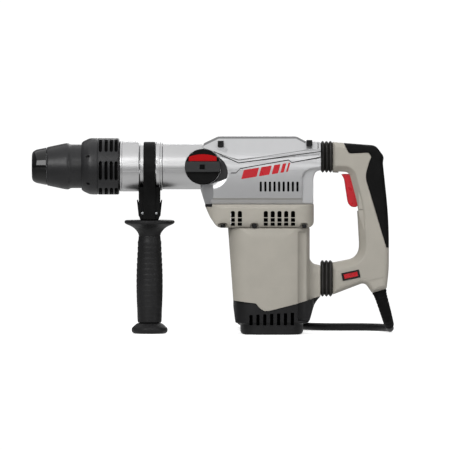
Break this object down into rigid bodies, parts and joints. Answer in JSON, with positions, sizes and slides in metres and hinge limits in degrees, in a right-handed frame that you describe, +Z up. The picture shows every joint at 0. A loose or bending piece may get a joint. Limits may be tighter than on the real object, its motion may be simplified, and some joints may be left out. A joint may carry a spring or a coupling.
{
  "type": "rotary hammer",
  "caption": "Corded rotary hammer with an upright motor, sliding-sleeve chuck, mode knob, front side handle and a rear D-handle on bellows.",
  "frame": {"origin": "under the middle of the tool without its cord, on the surface it stands on", "axes": "+X along the tool axis from the chuck to the rear handle, +Z up, the mode knob on the -Y side"},
  "size_m": [0.4542, 0.301, 0.2465],
  "materials": {
    "machined_aluminium": "turned, fine rings",
    "silver_casting": "silver lacquer on a casting",
    "steel": "ground",
    "copper": "bright",
    "carbon": "matt",
    "grey_plastic": "fine texture",
    "black_plastic": "fine texture",
    "black_rubber": "satin",
    "chuck_grey": "satin",
    "red_plastic": "semi gloss"
  },
  "bodies": {
    "body": {"front_barrel": "machined_aluminium", "rear_barrel": "machined_aluminium", "front_bearing": "steel", "rear_bearing": "steel", "armature_bearing_upper": "steel", "armature_bearing_lower": "steel", "field_stator": "steel", "brush_right": "carbon", "brush_left": "carbon", "gear_housing": "silver_casting", "grease_plug_front": "black_plastic", "grease_plug_rear": "black_plastic", "top_cover": "silver_casting", "motor_flange": "grey_plastic", "motor_housing": "grey_plastic", "base_cap": "black_plastic", "upper_bellows": "black_rubber", "lower_bellows": "black_rubber", "upper_guide_rod": "steel", "lower_guide_rod": "steel"},
    "armature": {"armature_shaft": "steel", "armature_core": "steel", "commutator": "copper", "fan": "black_plastic"},
    "intermediate": {"intermediate_shaft": "steel", "intermediate_gear": "steel"},
    "crank": {"crankshaft": "steel", "crank_gear": "steel"},
    "tool_spindle": {"spindle": "steel", "nose_cap": "black_rubber", "rear_collar": "chuck_grey", "spindle_gear": "steel", "sleeve_spring": "steel"},
    "sleeve": {"locking_sleeve": "chuck_grey"},
    "roller_top": {"lock_roller_top": "steel"},
    "roller_bottom": {"lock_roller_bottom": "steel"},
    "bolt": {"impact_bolt": "steel"},
    "ram": {"striker": "steel"},
    "piston_and_rod": {"piston": "silver_casting", "wrist_pin": "steel", "connecting_rod": "steel"},
    "selector": {"mode_knob": "black_plastic", "knob_insert": "red_plastic"},
    "side_clamp": {"clamp_band": "black_plastic", "handle_carrier": "black_plastic"},
    "side_grip_body": {"clamp_stud": "steel", "side_grip": "black_rubber", "side_pommel": "black_rubber"},
    "rear_handle": {"handle_shell_right": "grey_plastic", "handle_shell_left": "grey_plastic", "grip_overmould": "black_rubber", "switch_body": "black_plastic", "rocker_bezel": "black_plastic", "cord_guard": "black_rubber", "power_cord": "black_rubber", "cord_hank": "black_rubber", "cord_tail": "black_rubber", "cord_plug": "black_rubber"},
    "trigger_body": {"trigger": "red_plastic"},
    "rocker_body": {"rocker": "red_plastic"}
  },
  "joints": [
    {"name": "armature_spin", "type": "hinge", "parent": "body", "child": "armature", "pos_m": [0.074, 0, 0.09], "axis": [0, 0, 1], "continuous": true},
    {"name": "intermediate_spin", "type": "hinge", "parent": "body", "child": "intermediate", "pos_m": [0.046, 0, 0.155], "axis": [0, 0, 1], "continuous": true},
    {"name": "crank_spin", "type": "hinge", "parent": "body", "child": "crank", "pos_m": [0.102, 0, 0.155], "axis": [0, 0, 1], "continuous": true},
    {"name": "spindle_spin", "type": "hinge", "parent": "body", "child": "tool_spindle", "pos_m": [0, 0, 0.209], "axis": [1, 0, 0], "continuous": true},
    {"name": "sleeve_slide", "type": "slide", "parent": "tool_spindle", "child": "sleeve", "axis": [1, 0, 0], "range_m": [0, 0.008], "stiffness_N_per_m": 1500, "springref_m": -0.006, "deforming": ["sleeve_spring"]},
    {"name": "roller_top_slide", "type": "slide", "parent": "tool_spindle", "child": "roller_top", "axis": [0, 0, 1], "range_m": [0, 0.003]},
    {"name": "roller_bottom_slide", "type": "slide", "parent": "tool_spindle", "child": "roller_bottom", "axis": [0, 0, -1], "range_m": [0, 0.003]},
    {"name": "impact_bolt_slide", "type": "slide", "parent": "tool_spindle", "child": "bolt", "axis": [1, 0, 0], "range_m": [-0.006, 0]},
    {"name": "striker_slide", "type": "slide", "parent": "tool_spindle", "child": "ram", "axis": [1, 0, 0], "range_m": [-0.006, 0.018]},
    {"name": "piston_slide", "type": "slide", "parent": "body", "child": "piston_and_rod", "axis": [1, 0, 0], "range_m": [0, 0.02]},
    {"name": "mode_knob_turn", "type": "hinge", "parent": "body", "child": "selector", "pos_m": [-0.0094, -0.045, 0.209], "axis": [0, -1, 0], "range_deg": [0, 90]},
    {"name": "side_handle_swing", "type": "hinge", "parent": "body", "child": "side_clamp", "pos_m": [-0.076, 0, 0.209], "axis": [1, 0, 0], "range_deg": [-180, 180]},
    {"name": "side_grip_turn", "type": "hinge", "parent": "side_clamp", "child": "side_grip_body", "pos_m": [-0.076, 0, 0.1], "axis": [0, 0, 1], "continuous": true},
    {"name": "handle_travel", "type": "slide", "parent": "body", "child": "rear_handle", "axis": [1, 0, 0], "range_m": [-0.004, 0], "stiffness_N_per_m": 9000, "springref_m": 0.003, "deforming": ["upper_bellows", "lower_bellows"]},
    {"name": "trigger_squeeze", "type": "hinge", "parent": "rear_handle", "child": "trigger_body", "pos_m": [0.168, 0, 0.1986], "axis": [0, -1, 0], "range_deg": [0, 8], "stiffness_Nm_per_rad": 3, "springref_deg": -3.44},
    {"name": "rocker_tip", "type": "hinge", "parent": "rear_handle", "child": "rocker_body", "pos_m": [0.1753, -0.0165, 0.0734], "axis": [-0.2079, 0, 0.9781], "range_deg": [-4, 4]}
  ],
  "couplings": [
    {"joint": "intermediate_spin", "follows": "armature_spin", "ratio": -0.25},
    {"joint": "crank_spin", "follows": "armature_spin", "ratio": -0.25},
    {"joint": "spindle_spin", "follows": "armature_spin", "ratio": 0.0625},
    {"joint": "roller_top_slide", "follows": "sleeve_slide", "ratio": 0.375},
    {"joint": "roller_bottom_slide", "follows": "sleeve_slide", "ratio": 0.375}
  ]
}
